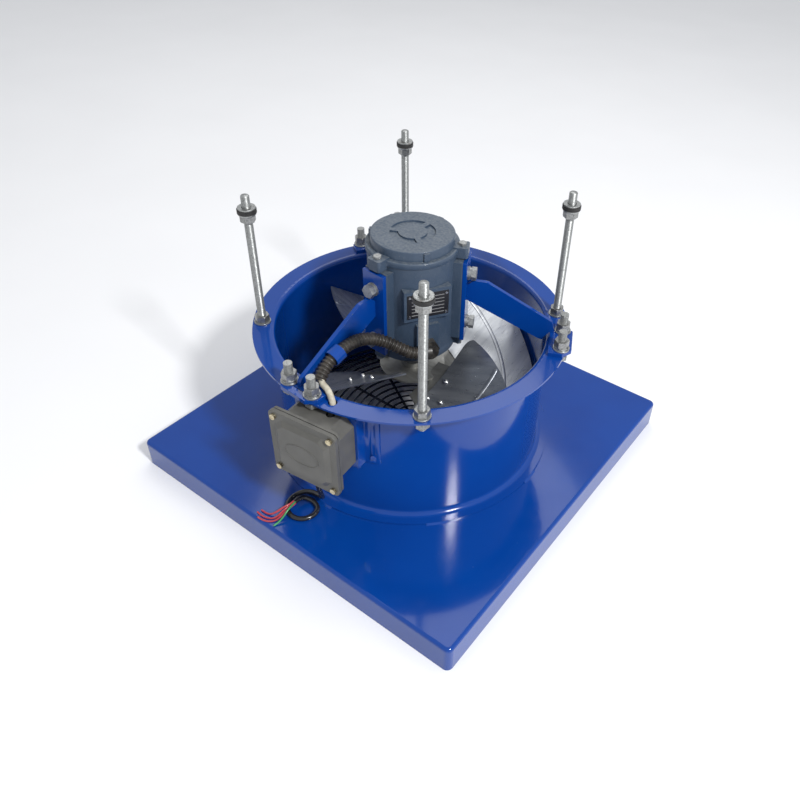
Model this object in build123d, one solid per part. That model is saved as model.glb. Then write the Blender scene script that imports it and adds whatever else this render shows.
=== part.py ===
from build123d import *
import os
from math import cos, hypot, radians, sin, sqrt, tan

# Roof exhaust fan: a square base panel, a round duct with rolled flanges, a motor held in the
# duct by three arms, a four-blade impeller under the motor, and four studs that carry a hood.
# Millimetres. Origin: centre of the base panel's underside. +Z up, along the motor shaft.
# The base panel's sides run along X and Y. Angles are in degrees, anticlockwise from +X.

# ---- driving dimensions ----------------------------------------------------------------
BASE_SIDE = 600.0
BASE_HEIGHT = 45.0
BASE_SHEET = 2.0
BASE_CORNER_R = 9.0
BASE_BEND_R = 5.0

DUCT_R = 200.0              # inner radius
DUCT_WALL = 3.0
DUCT_TOP = 252.0
TOP_FLANGE_R = 232.0
FOOT_FLANGE_R = 221.0
TOP_BEND = 4.0              # bend radii on the outer side of the wall
FOOT_BEND = 8.0

STUD_R = 6.0                # M12
STUD_SHANK_R = 5.8          # the threaded part that carries the row's own nuts
STUD_TIP_START = 435.9      # the free end above the top washers
STUD_CIRCLE_R = 218.0
STUD_ANGLES = (-48.0, 42.0, 132.0, 222.0)
STUD_BOTTOM = 230.0
STUD_TOP = 452.0
TOP_NUT_Z = 415.0
THREAD_GAP = 0.05           # between a nut's bore and the stud's outside

NUT_FLATS = 18.5
NUT_HEIGHT = 10.0
WASHER_R = 12.0
NARROW_WASHER_R = 10.0
WASHER_T = 2.5
SPRING_WASHER_R = 10.4
SPRING_WASHER_T = 3.0
RUBBER_R = 13.0
RUBBER_T = 5.5

# Arm name: angle, tangential place of its foot, radius where the bar ends on the foot.
ARMS = {"left": (-93.0, 4.5, 221.0), "right": (27.0, -17.0, 209.0), "rear": (147.0, -4.0, 221.0)}
PLATE_IN, PLATE_OUT = 74.0, 80.0        # radial faces of a motor plate
PLATE_WIDTH = 38.0
PLATE_Z = (236.0, 365.0)
PLATE_BOLT_Z = (258.0, 340.0)
BAR_THICKNESS = 6.0
FOOT_T = 6.0
FOOT_LENGTH = 70.0
FOOT_IN, FOOT_OUT = 204.0, 237.0
FOOT_BOLT_R = 222.0                      # radial place of the foot bolts
FOOT_BOLT_HALF = 21.5
FOOT_BOLT_END = 288.0

MOTOR_ANGLES = (-93.0, 27.0, 147.0)
MOTOR_R = 64.0
MOTOR_BORE_R = 60.0
MOTOR_Z = (232.0, 374.0)
MOTOR_TOP = 396.0
MOTOR_BOTTOM = 216.0
PAD_HALF = 20.0
FACE_ANGLE = -33.0                       # side of the motor with the nameplate and gland
COVER_BOLT_R = 70.0
GLAND_Z = 248.0
GLAND_ELBOW_R = 81.0
SHAFT_R = 8.5
SHAFT_Z = (141.0, 388.0)
BEARING_Z = (225.0, 383.0)               # centres of the two bearings
BEARING_WIDTH = 12.0
BEARING_OUT_R = 20.0
BALL_R = 3.37
BALL_CIRCLE_R = 14.25
BALLS = 8
RUNNING_GAP = 0.05

BLADES = 4
TIP_R = 195.0
BLADE_SHEET = 2.0
ARM_SHEET = 3.0
RISE_ANGLE = 58.6                        # plan direction in which blade 1 climbs
# Blade height against distance along the climb: three points of its circular camber.
CAMBER = ((-105.0, 110.0), (14.0, 167.0), (90.0, 222.5))
RIVET_HOLE_R = 2.0
RIVET_PLACES = ((77.0, -15.0), (91.0, -46.0), (65.5, -44.0))
HUB_DISC_R = 50.0
HUB_DISC_Z = 166.0

BOX_ANGLE = -83.4
BOX_Z = 192.0                            # centre height
BOX_BACK, BOX_FRONT = 215.0, 256.0       # radial faces of the box body
BOX_HALF = 46.0
LID_HALF = 53.0
LID_SCREW_HALF = 44.5
BRACKET_WEB = (212.5, 215.0)
BRACKET_Z = (148.0, 236.0)
GLAND_PLACE = (236.0, -7.0)              # radial and tangential place under the box

GUARD_Z = 54.0
GUARD_PITCH = 13.0
RING_WIRE_R = 1.5
SPOKE_WIRE_R = 2.0
SPOKE_ANGLES = tuple(range(0, 180, 30))

CABLE_D = 7.4
WIRE_D = 2.7
CONDUIT_D = 18.0
CONDUIT_BORE_R = 6.5
SLEEVE_D = 8.4


WELDS = 8                                # beads round the foot flange
FIRST_WELD = -87.0
WELD_ARC = 8.0


# ---- helpers -----------------------------------------------------------------------------
def polar(radius, angle, z=0.0):
    """Point at a radius and plan angle about the duct axis."""
    return Vector(radius * cos(radians(angle)), radius * sin(radians(angle)), z)


def place(angle, radial, across, z):
    """Point given by radial and tangential distances in the direction of an angle."""
    a = radians(angle)
    return Vector(radial * cos(a) - across * sin(a), radial * sin(a) + across * cos(a), z)


def turned(shape, angle):
    """The shape turned about the duct axis."""
    return Rot(0, 0, angle) * shape


def block(x, y, z):
    """Box between pairs of coordinates."""
    size = [b - a for a, b in (x, y, z)]
    centre = [(a + b) / 2 for a, b in (x, y, z)]
    return Pos(*centre) * Box(*size)


def disc(radius, z_low, z_high, bore=0.0):
    """Round slab about the duct axis, with an optional bore."""
    body = Pos(0, 0, (z_low + z_high) / 2) * Cylinder(radius, z_high - z_low)
    if bore:
        body -= Pos(0, 0, (z_low + z_high) / 2) * Cylinder(bore, z_high - z_low)
    return body


def ring_at(point, outer, bore, height):
    """Flat washer standing on a point."""
    body = Cylinder(outer, height) - Cylinder(bore, height)
    return Pos(point.X, point.Y, point.Z + height / 2) * body


def nut_at(point, flats=NUT_FLATS, bore=STUD_R + THREAD_GAP, height=NUT_HEIGHT, turn=0.0):
    """Hexagon nut standing on a point, with its top and bottom corners chamfered round."""
    hexagon = extrude(RegularPolygon(flats / 2, 6, major_radius=False), height)
    corner_r = flats / sqrt(3)
    round_blank = Pos(0, 0, height / 2) * Cylinder(corner_r, height)
    round_blank = chamfer(round_blank.edges().filter_by(GeomType.CIRCLE), height * 0.08)
    body = (hexagon & round_blank) - Pos(0, 0, height / 2) * Cylinder(bore, height)
    return Pos(point.X, point.Y, point.Z) * Rot(0, 0, turn) * body


def radial_cylinder(angle, start, end, across, z, radius):
    """Cylinder along the radial direction of an angle."""
    body = Rot(0, 90, 0) * Cylinder(radius, end - start)
    return turned(Pos((start + end) / 2, across, z) * body, angle)


def revolved(points, rounds=()):
    """Solid of revolution of an (r, z) outline. rounds lists (r, z, fillet radius)."""
    outline = make_face(Polyline(*[(r, z) for r, z in points], close=True))
    for r, z, size in rounds:
        corner = outline.vertices().sort_by_distance(Vector(r, z, 0))[0]
        outline = fillet(corner, size)
    return revolve(Plane.XZ * outline, Axis.Z)


def arc_radii(points):
    """Largest tangent arc at each corner of a route: 0.45 of its shorter run."""
    radii = []
    for a, b, c in zip(points, points[1:], points[2:]):
        before, after = Vector(*b) - Vector(*a), Vector(*c) - Vector(*b)
        half_turn = radians(before.get_angle(after)) / 2
        radii.append(0.45 * min(before.length, after.length) / tan(half_turn))
    return radii


def tube(name, points, diameter, bore=0.0):
    """Cord of straight runs joined by tangent arcs. Prints its length, radii and volume ratio."""
    radii = arc_radii(points)
    path = FilletPolyline(*[Vector(*p) for p in points], radius=radii)
    section = Plane(origin=path @ 0, z_dir=path % 0) * Circle(diameter / 2)
    body = sweep(section, path=path)
    area = 3.14159265 * diameter**2 / 4
    print(f"{name}: length {path.length:.1f}, radii {[round(r, 1) for r in radii]},",
          f"volume ratio {body.volume / (area * path.length):.4f}")
    if bore:
        inner = Plane(origin=path @ 0, z_dir=path % 0) * Circle(bore)
        body -= sweep(inner, path=path)
    return body


# ---- base and duct --------------------------------------------------------------------------
def base_panel():
    """Folded tray, open below, with the duct's opening in its top."""
    outer = block((-BASE_SIDE / 2, BASE_SIDE / 2), (-BASE_SIDE / 2, BASE_SIDE / 2), (0, BASE_HEIGHT))
    outer = fillet(outer.edges().filter_by(Axis.Z), BASE_CORNER_R)
    outer = fillet(outer.faces().sort_by(Axis.Z)[-1].edges(), BASE_BEND_R)
    half = BASE_SIDE / 2 - BASE_SHEET
    inner = block((-half, half), (-half, half), (0, BASE_HEIGHT - BASE_SHEET))
    inner = fillet(inner.edges().filter_by(Axis.Z), BASE_CORNER_R - BASE_SHEET)
    inner = fillet(inner.faces().sort_by(Axis.Z)[-1].edges(), BASE_BEND_R - BASE_SHEET)
    return outer - inner - disc(DUCT_R, 0, BASE_HEIGHT + 1)


def duct_shell():
    """Cylinder with a flange rolled outwards at each end, holes for studs, feet and the lead."""
    outer, bottom, top = DUCT_R + DUCT_WALL, BASE_HEIGHT, DUCT_TOP
    points = [
        (FOOT_FLANGE_R, bottom), (FOOT_FLANGE_R, bottom + DUCT_WALL), (outer, bottom + DUCT_WALL),
        (outer, top - DUCT_WALL), (TOP_FLANGE_R, top - DUCT_WALL), (TOP_FLANGE_R, top),
        (DUCT_R, top), (DUCT_R, bottom),
    ]
    rounds = [
        (outer, bottom + DUCT_WALL, FOOT_BEND), (outer, top - DUCT_WALL, TOP_BEND),
        (DUCT_R, top, TOP_BEND + DUCT_WALL), (DUCT_R, bottom, DUCT_WALL),
    ]
    shell = revolved(points, rounds)
    for angle in STUD_ANGLES:
        centre = polar(STUD_CIRCLE_R, angle, DUCT_TOP)
        shell -= Pos(*centre) * Cylinder(STUD_R + 0.5, 4 * DUCT_WALL)
    for centre in foot_bolt_places(DUCT_TOP):
        shell -= Pos(*centre) * Cylinder(STUD_R + 0.5, 4 * DUCT_WALL)
    lead = place(LEFT, *LEAD_HOLE, DUCT_TOP)
    return shell - Pos(*lead) * Cylinder(SLEEVE_D / 2 + 2, 4 * DUCT_WALL)


def base_welds():
    """Short fillet beads between the duct's foot flange and the base panel."""
    leg = 2.5
    section = make_face(Polyline(
        (FOOT_FLANGE_R, BASE_HEIGHT), (FOOT_FLANGE_R + leg, BASE_HEIGHT),
        (FOOT_FLANGE_R, BASE_HEIGHT + leg), close=True))
    bead = revolve(Plane.XZ * section, Axis.Z, revolution_arc=WELD_ARC)
    return [turned(bead, FIRST_WELD + 360 / WELDS * k - WELD_ARC / 2) for k in range(WELDS)]


def guard_rings():
    """Concentric wires across the inlet, resting on the spokes."""
    count = int(DUCT_R // GUARD_PITCH)
    radii = [GUARD_PITCH * (k + 1) for k in range(count)]
    return [Pos(0, 0, GUARD_Z) * Torus(r, RING_WIRE_R) for r in radii]


def guard_spokes():
    """Crossing wires under the rings, joined at a centre disc and held on the duct wall."""
    z = GUARD_Z - RING_WIRE_R - SPOKE_WIRE_R
    inner = GUARD_PITCH / 2
    hub = disc(inner, z - SPOKE_WIRE_R, z + SPOKE_WIRE_R)
    spokes = [hub]
    for angle in SPOKE_ANGLES:
        for side in (angle, angle + 180):
            spokes.append(radial_cylinder(side, inner - 1, DUCT_R - 0.01, 0, z, SPOKE_WIRE_R))
    return [spokes[0].fuse(*spokes[1:])]


# ---- hood studs and M12 hardware ----------------------------------------------------------
def hood_studs():
    studs = []
    for angle in STUD_ANGLES:
        shank = disc_at(polar(STUD_CIRCLE_R, angle, STUD_BOTTOM), STUD_SHANK_R,
                        STUD_TIP_START - STUD_BOTTOM + 0.5)
        tip = disc_at(polar(STUD_CIRCLE_R, angle, STUD_TIP_START), STUD_R,
                      STUD_TOP - STUD_TIP_START)
        studs.append(shank.fuse(tip))
    return studs


def disc_at(point, radius, height):
    """Solid round bar standing on a point."""
    return Pos(point.X, point.Y, point.Z + height / 2) * Cylinder(radius, height)


def foot_bolt_places(z):
    """Centres of the six bolts that hold the feet to the flange."""
    places = []
    for angle, offset, _ in ARMS.values():
        for side in (-1, 1):
            places.append(place(angle, FOOT_BOLT_R, offset + side * FOOT_BOLT_HALF, z))
    return places


def m12_nuts():
    """Two nuts at each stud's foot, one under its top washers, and one on each foot bolt."""
    under = DUCT_TOP - DUCT_WALL - WASHER_T - NUT_HEIGHT
    nuts = []
    for k, angle in enumerate(STUD_ANGLES):
        heights = (under, DUCT_TOP + WASHER_T, TOP_NUT_Z)
        nuts += [nut_at(polar(STUD_CIRCLE_R, angle, z), bore=STUD_SHANK_R + THREAD_GAP,
                        turn=20 * k + 11 * z) for z in heights]
    above = DUCT_TOP + FOOT_T + WASHER_T + SPRING_WASHER_T
    return nuts + [nut_at(p, turn=17 * k) for k, p in enumerate(foot_bolt_places(above))]


def m12_washers():
    """Flat washers: on the flange and both sides of the rubber at each stud, and on the feet.
    Those under the flange are narrow, to clear its bend."""
    top = TOP_NUT_Z + NUT_HEIGHT
    under = DUCT_TOP - DUCT_WALL - WASHER_T
    places = [(WASHER_R, p) for p in foot_bolt_places(DUCT_TOP + FOOT_T)]
    for angle in STUD_ANGLES:
        for z in (DUCT_TOP, top, top + WASHER_T + RUBBER_T):
            places.append((WASHER_R, polar(STUD_CIRCLE_R, angle, z)))
        places.append((NARROW_WASHER_R, polar(STUD_CIRCLE_R, angle, under)))
    return [ring_at(p, outer, STUD_R + 0.4, WASHER_T) for outer, p in places]


def rubber_washers():
    z = TOP_NUT_Z + NUT_HEIGHT + WASHER_T
    return [ring_at(polar(STUD_CIRCLE_R, a, z), RUBBER_R, STUD_SHANK_R + THREAD_GAP, RUBBER_T)
            for a in STUD_ANGLES]


# ---- motor supports --------------------------------------------------------------------------
def motor_plate(angle):
    """Upright plate bolted to a pad of the motor."""
    half = PLATE_WIDTH / 2
    plate = block((PLATE_IN, PLATE_OUT), (-half, half), PLATE_Z)
    for z in PLATE_BOLT_Z:
        plate -= radial_cylinder(0, PLATE_IN - 1, PLATE_OUT + 1, 0, z, 5.3)
    return turned(plate, angle)


def support_arm(angle, bar_end):
    """Flat bar on edge, from the motor plate down to the foot, with its elbow rounded."""
    foot_top = DUCT_TOP + FOOT_T
    outline = make_face(Polyline(
        (PLATE_OUT, 297), (PLATE_OUT, 322), (88, 329.5), (108, 329.5),
        (bar_end - 4, 329.5 - 0.55 * (bar_end - 112)), (bar_end, foot_top + 6),
        (bar_end, foot_top), (203, foot_top), (196, 250), (194, 244), (188, 245), close=True))
    for corner, size in (((108, 329.5), 12), ((88, 329.5), 8), ((188, 245), 4)):
        nearest = outline.vertices().sort_by_distance(Vector(*corner, 0))[0]
        outline = fillet(nearest, size)
    return turned(extrude(Plane.XZ * outline, BAR_THICKNESS / 2, both=True), angle)


def foot_plate(angle, offset):
    """Plate on the flange with clipped outer corners and two bolt holes."""
    low, high = offset - FOOT_LENGTH / 2, offset + FOOT_LENGTH / 2
    clip = 12.0
    outline = make_face(Polyline(
        (FOOT_IN, low), (FOOT_OUT - clip, low), (FOOT_OUT, low + clip), (FOOT_OUT, high - clip),
        (FOOT_OUT - clip, high), (FOOT_IN, high), close=True))
    plate = Pos(0, 0, DUCT_TOP) * extrude(outline, FOOT_T)
    for side in (-1, 1):
        hole = Pos(FOOT_BOLT_R, offset + side * FOOT_BOLT_HALF, DUCT_TOP + FOOT_T / 2)
        plate -= hole * Cylinder(STUD_R + 0.5, 2 * FOOT_T)
    return turned(plate, angle)


def foot_bolts():
    """Hexagon bolts up through the flange and the feet."""
    under = DUCT_TOP - DUCT_WALL
    head = 7.5
    bolts = []
    for p in foot_bolt_places(under - head):
        shank = disc_at(p, STUD_R, FOOT_BOLT_END - p.Z)
        hexagon = Pos(*p) * extrude(RegularPolygon(NUT_FLATS / 2, 6, major_radius=False), head)
        bolts.append(shank + hexagon)
    return bolts


def foot_spring_washers():
    z = DUCT_TOP + FOOT_T + WASHER_T
    return [split_washer(p, SPRING_WASHER_R, STUD_R + 0.4, SPRING_WASHER_T)
            for p in foot_bolt_places(z)]


def split_washer(point, outer, bore, height):
    """Spring washer with a slanted cut through one side."""
    body = Pos(0, 0, height / 2) * (Cylinder(outer, height) - Cylinder(bore, height))
    cut = Pos(outer, 0, height / 2) * Rot(25, 0, 0) * Box(outer, 1.0, 3 * height)
    return Pos(*point) * (body - cut)


def plate_bolts():
    """Hexagon bolts from each plate into the motor's pads."""
    head, washer = 7.0, 4.5
    bolts = []
    for angle in MOTOR_ANGLES:
        for z in PLATE_BOLT_Z:
            start = PLATE_OUT + washer
            shank = radial_cylinder(angle, 66, start + head / 2, 0, z, 5.0)
            hexagon = extrude(RegularPolygon(8.5, 6, major_radius=False), head)
            hexagon = turned(Pos(start, 0, z) * Rot(0, 90, 0) * Rot(0, 0, 30) * hexagon, angle)
            bolts.append(shank + hexagon)
    return bolts


def plate_washers():
    """A flat and a spring washer under each plate bolt."""
    washers = []
    for angle in MOTOR_ANGLES:
        for z in PLATE_BOLT_Z:
            for start, end, outer in ((0, 2, 10.0), (2, 4.5, 8.6)):
                ring = radial_cylinder(angle, PLATE_OUT + start, PLATE_OUT + end, 0, z, outer)
                bore = radial_cylinder(angle, PLATE_OUT + start, PLATE_OUT + end, 0, z, 5.3)
                washers.append(ring - bore)
    return washers


# ---- motor -------------------------------------------------------------------------------------
def motor_housing():
    """Cast tube with three bolting pads, a raised nameplate flat and a terminal boss."""
    body = disc(MOTOR_R, *MOTOR_Z)
    for angle in MOTOR_ANGLES:
        pad = block((50, PLATE_IN), (-PAD_HALF, PAD_HALF), (240, 366))
        pad = chamfer(pad.faces().sort_by(Axis.X)[-1].edges().filter_by(Axis.Z), 1.5)
        body += turned(pad, angle)
    body += turned(block((50, 67), (-34, 34), (294, 342)), FACE_ANGLE)
    body += turned(block((50, 69), (-16, 16), (234, 285)), FACE_ANGLE)
    body -= disc(MOTOR_BORE_R, MOTOR_Z[0] - 1, MOTOR_Z[1] + 1)
    for angle in MOTOR_ANGLES:
        for z in PLATE_BOLT_Z:
            body -= radial_cylinder(angle, 66, PLATE_IN + 1, 0, z, 5.0 + THREAD_GAP)
        for z in (238.0, 362.0):
            hole = Pos(*polar(COVER_BOLT_R, angle, z)) * Cylinder(2.5 + THREAD_GAP, 20)
            body -= hole
    gland_hole = radial_cylinder(FACE_ANGLE, 50, 70, 0, GLAND_Z, 8.0)
    return body - gland_hole


def motor_top_cover():
    """End cover: stepped cap with a ring groove on top, a rim, three bolt lugs, bearing seat."""
    cap = revolved([(0, 374), (66, 374), (66, 382), (59, 382), (59, MOTOR_TOP), (0, MOTOR_TOP)],
                   [(66, 382, 2.5), (59, MOTOR_TOP, 2.0)])
    for angle in MOTOR_ANGLES:
        lug = block((50, 79), (-11, 11), (368, 384))
        lug = fillet(lug.faces().sort_by(Axis.X)[-1].edges().filter_by(Axis.Z), 4)
        cap += turned(lug, angle)
    cap -= disc(MOTOR_R + 0.2, 360, 374)
    cap -= disc(MOTOR_BORE_R - 4, 373, 388) - disc(26, 376, 390)
    cap -= disc(BEARING_OUT_R, 370, BEARING_Z[1] + BEARING_WIDTH / 2)
    cap -= disc(24, 373, 376)
    groove = disc(32, MOTOR_TOP - 2.5, MOTOR_TOP + 1, 20)
    for angle in (FACE_ANGLE, FACE_ANGLE + 120, FACE_ANGLE + 240):
        groove -= turned(block((18, 34), (-4, 4), (MOTOR_TOP - 3, MOTOR_TOP + 2)), angle)
    cap -= groove
    for angle in MOTOR_ANGLES:
        cap -= Pos(*polar(COVER_BOLT_R, angle, 376)) * Cylinder(2.8, 20)
        nub = turned(block((58, 61.5), (-4, 4), (382, 394)), angle + 60)
        cap += nub
    return cap


def motor_bottom_shield():
    """Lower end cover with a bearing seat, a shaft hole and three bolt lugs."""
    body = revolved([(0, MOTOR_BOTTOM), (60, MOTOR_BOTTOM), (MOTOR_R, 220), (MOTOR_R, 232), (0, 232)])
    for angle in MOTOR_ANGLES:
        lug = block((50, 73.9), (-9, 9), (222, 238))
        lug = fillet(lug.faces().sort_by(Axis.X)[-1].edges().filter_by(Axis.Z), 4)
        body += turned(lug, angle)
    body -= disc(MOTOR_R + 0.2, 232, 245)
    body -= disc(56, 221, 233) - disc(26, 220, 232)
    body -= disc(BEARING_OUT_R, BEARING_Z[0] - BEARING_WIDTH / 2, 233)
    body -= disc(SHAFT_R + 1.5, 210, 222)
    for angle in MOTOR_ANGLES:
        body -= Pos(*polar(COVER_BOLT_R, angle, 230)) * Cylinder(2.8, 30)
    return body


def cover_bolts():
    """Hexagon screws through the lugs of both end covers into the housing's pads."""
    bolts = []
    for angle in MOTOR_ANGLES:
        for head_z, tip_z, sign in ((384.0, 356.0, 1), (222.0, 244.0, -1)):
            low, high = sorted((head_z, tip_z))
            shank = disc_at(polar(COVER_BOLT_R, angle, low), 2.5, high - low)
            hexagon = extrude(RegularPolygon(5.0, 6, major_radius=False), 4.0 * sign)
            bolts.append(shank + Pos(*polar(COVER_BOLT_R, angle, head_z)) * hexagon)
    return bolts


def nameplate():
    return turned(block((67, 67.8), (-30, 30), (299, 337)), FACE_ANGLE)


def nameplate_rivets():
    return [radial_cylinder(FACE_ANGLE, 67.8, 68.8, y, z, 1.6) for y in (-26.5, 26.5)
            for z in (302.5, 333.5)]


def motor_cable_gland():
    """Elbow gland: a hexagon on the terminal boss and a collar that holds the conduit."""
    hexagon = extrude(RegularPolygon(13.0, 6, major_radius=False), 10)
    body = Pos(69, 0, GLAND_Z) * Rot(0, 90, 0) * Rot(0, 0, 30) * hexagon
    body += Pos(80, 0, GLAND_Z) * Rot(0, 90, 0) * Cylinder(11, 12)
    body += Pos(GLAND_ELBOW_R, -8, GLAND_Z) * Rot(90, 0, 0) * Cylinder(11, 16)
    body -= Pos(GLAND_ELBOW_R, -12.5, GLAND_Z) * Rot(90, 0, 0) * Cylinder(CONDUIT_D / 2, 7)
    return turned(body, FACE_ANGLE)


def stator_core():
    """Laminated ring with winding slots open to the bore."""
    core = disc(MOTOR_BORE_R, 268, 342, 36)
    for k in range(24):
        core -= turned(block((35, 50), (-2.2, 2.2), (260, 350)), 15 * k)
    return core


def stator_winding():
    """Coil heads at both ends of the core and the slot fillings between them."""
    heads = [disc(56, 342, 362, 39), disc(56, 248, 268, 39)]
    slots = [turned(block((39.5, 49.8), (-2, 2), (267, 343)), 15 * k) for k in range(24)]
    return [heads[0].fuse(heads[1], *slots)]


def bearing_outer_rings():
    ring = disc(BEARING_OUT_R, -BEARING_WIDTH / 2, BEARING_WIDTH / 2, BALL_CIRCLE_R + 2.55)
    ring -= Torus(BALL_CIRCLE_R, BALL_R + RUNNING_GAP)
    return [Pos(0, 0, z) * ring for z in BEARING_Z]


def bearing_inner_rings():
    ring = disc(BALL_CIRCLE_R - 2.55, -BEARING_WIDTH / 2, BEARING_WIDTH / 2, SHAFT_R)
    ring -= Torus(BALL_CIRCLE_R, BALL_R + RUNNING_GAP)
    return [Pos(0, 0, z) * ring for z in BEARING_Z]


def bearing_balls():
    return [Pos(*polar(BALL_CIRCLE_R, 360 / BALLS * k, z)) * Sphere(BALL_R)
            for z in BEARING_Z for k in range(BALLS)]


def bearing_cages():
    """Rings that keep the balls apart."""
    cage = disc(BALL_CIRCLE_R + 1.3, -4.6, 4.6, BALL_CIRCLE_R - 1.3)
    for k in range(BALLS):
        cage -= radial_cylinder(360 / BALLS * k, 10, 19, 0, 0, BALL_R + RUNNING_GAP)
    return [Pos(0, 0, z) * cage for z in BEARING_Z]


def motor_shaft():
    return disc(SHAFT_R, *SHAFT_Z)


def rotor_core():
    return disc(35.6, 268, 342, SHAFT_R)


# ---- impeller ----------------------------------------------------------------------------------
def camber_circle():
    """Centre and radius, in the plane of climb and height, of the blade's lower face."""
    (x1, y1), (x2, y2), (x3, y3) = CAMBER
    d = 2 * (x1 * (y2 - y3) + x2 * (y3 - y1) + x3 * (y1 - y2))
    s1, s2, s3 = x1**2 + y1**2, x2**2 + y2**2, x3**2 + y3**2
    cx = (s1 * (y2 - y3) + s2 * (y3 - y1) + s3 * (y1 - y2)) / d
    cy = (s1 * (x3 - x2) + s2 * (x1 - x3) + s3 * (x2 - x1)) / d
    return cx, cy, hypot(x1 - cx, y1 - cy)


def cambered_sheet(low, high):
    """Sheet that follows the blade's camber, between two offsets above its lower face."""
    cx, cz, radius = camber_circle()
    length = 3 * TIP_R
    axis = Rot(0, 0, RISE_ANGLE) * Pos(cx, 0, cz) * Rot(90, 0, 0)
    return axis * (Cylinder(radius - low, length) - Cylinder(radius - high, length))


def surface_height(x, y):
    """Height of the blade's lower face at a plan point of blade 1."""
    cx, cz, radius = camber_circle()
    along = x * cos(radians(RISE_ANGLE)) + y * sin(radians(RISE_ANGLE))
    return cz - sqrt(radius**2 - (along - cx) ** 2)


def blade_outline():
    """Plan of blade 1: root edge, swept leading edge, tip on a circle, swept trailing edge."""
    root_trail, root_mid, root_lead = (69, 53), (66, 14), (44, -78)
    tip_lead, tip_mid, tip_trail = polar(TIP_R, -62), polar(TIP_R, -35), polar(TIP_R, -7.5)
    edges = [
        Line(root_trail, root_mid),
        ThreePointArc(root_mid, (61, -26), root_lead),
        Line(root_lead, tip_lead),
        ThreePointArc(tip_lead, tip_mid, tip_trail),
        ThreePointArc(tip_trail, (140, 17), root_trail),
    ]
    outline = make_face(edges)
    for corner, size in ((root_trail, 10), (root_lead, 14), (tip_lead, 22), (tip_trail, 5)):
        nearest = outline.vertices().sort_by_distance(Vector(*tuple(corner)[:2], 0))[0]
        outline = fillet(nearest, size)
    return outline


def prism(outline):
    """The outline carried straight up through the whole impeller."""
    return Pos(0, 0, 60) * extrude(outline, 200)


def rivet_frames():
    """Frames on blade 1's lower face at its rivets, square to the sheet."""
    frames = []
    step = 0.5
    for x, y in RIVET_PLACES:
        rise_x = (surface_height(x + step, y) - surface_height(x - step, y)) / (2 * step)
        rise_y = (surface_height(x, y + step) - surface_height(x, y - step)) / (2 * step)
        normal = Vector(-rise_x, -rise_y, 1)
        frames.append(Plane(origin=(x, y, surface_height(x, y)), z_dir=normal).location)
    return frames


def blade_blank():
    blade = prism(blade_outline()) & cambered_sheet(0, BLADE_SHEET)
    for frame in rivet_frames():
        blade -= frame * Cylinder(RIVET_HOLE_R, 12)
    return blade


def fan_hub():
    """Pressed spider: boss, disc, and one slanted arm under each blade."""
    arm_outline = make_face(Polyline(
        (40, 14), (74, 8), (98, -22), (112, -52), (96, -66), (62, -62), (30, -44), close=True))
    for corner, size in (((98, -22), 12), ((112, -52), 9), ((96, -66), 10), ((74, 8), 10)):
        nearest = arm_outline.vertices().sort_by_distance(Vector(*corner, 0))[0]
        arm_outline = fillet(nearest, size)
    arm = prism(arm_outline) & cambered_sheet(-ARM_SHEET, 0)
    for frame in rivet_frames():
        arm -= frame * Cylinder(RIVET_HOLE_R, 12)
    arms = [turned(arm, 360 / BLADES * k) for k in range(BLADES)]
    hub = disc(HUB_DISC_R, HUB_DISC_Z, HUB_DISC_Z + 3).fuse(disc(18, 146, 178), *arms)
    return hub - disc(SHAFT_R, 100, 260)


def blade_rivets():
    """Round-headed rivets square to the sheet at each place, through blade and arm."""
    head = Pos(0, 0, BLADE_SHEET) * (Sphere(4.2) & block((-5, 5), (-5, 5), (0.15, 5)))
    tail = Pos(0, 0, -ARM_SHEET) * (Sphere(3.6) & block((-5, 5), (-5, 5), (-5, -0.15)))
    shank_low, shank_high = -ARM_SHEET - 1, BLADE_SHEET + 1
    shank = disc(RIVET_HOLE_R - THREAD_GAP, shank_low, shank_high)
    rivet = head + shank + tail
    return [turned(frame * rivet, 360 / BLADES * k)
            for k in range(BLADES) for frame in rivet_frames()]


def hub_bolt():
    """Bolt and washer in the shaft's end that keep the hub on."""
    washer = disc(14, SHAFT_Z[0] - 3, SHAFT_Z[0])
    hexagon = extrude(RegularPolygon(6.5, 6, major_radius=False), -6)
    return washer + Pos(0, 0, SHAFT_Z[0] - 3) * hexagon


# ---- conduit and lead --------------------------------------------------------------------------
LEFT = ARMS["left"][0]
CONDUIT_ROUTE = [
    tuple(place(FACE_ANGLE, GLAND_ELBOW_R, -9, GLAND_Z)),
    tuple(place(FACE_ANGLE, GLAND_ELBOW_R, -24, GLAND_Z)),
    tuple(place(FACE_ANGLE, 78, -41, 258.5)), tuple(polar(90.5, -72, 268)),
    tuple(place(LEFT, 96, 21, 275)), tuple(place(LEFT, 112, 14.5, 282)),
    tuple(place(LEFT, 130, 13, 287)), tuple(place(LEFT, 149, 12.8, 287.5)),
    tuple(place(LEFT, 166, 13, 284)), tuple(place(LEFT, 180, 13.2, 279)),
    tuple(place(LEFT, 192.5, 15, 272)), tuple(place(LEFT, 203, 18.5, 265.2)),
]
# The lead starts inside the conduit's end and goes down through the flange into the top of
# the junction box.
LEAD_HOLE = (210.4, 51.0)
SLEEVE_ROUTE = [
    tuple(place(LEFT, 199, 17.5, 268.4)), tuple(place(LEFT, 203.6, 25.5, 265)),
    tuple(place(LEFT, 206, 38, 264)), tuple(place(LEFT, 209, 47, 259)),
    tuple(place(LEFT, 210.5, 51.5, 249.5)), tuple(place(LEFT, 214.5, 53, 242)),
    tuple(place(LEFT, 217.6, 53.5, 235.2)),
]


def flexible_conduit():
    return tube("flexible_conduit", CONDUIT_ROUTE, CONDUIT_D, bore=CONDUIT_BORE_R)


def lead_sleeve():
    return tube("lead_sleeve", SLEEVE_ROUTE, SLEEVE_D)


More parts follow.
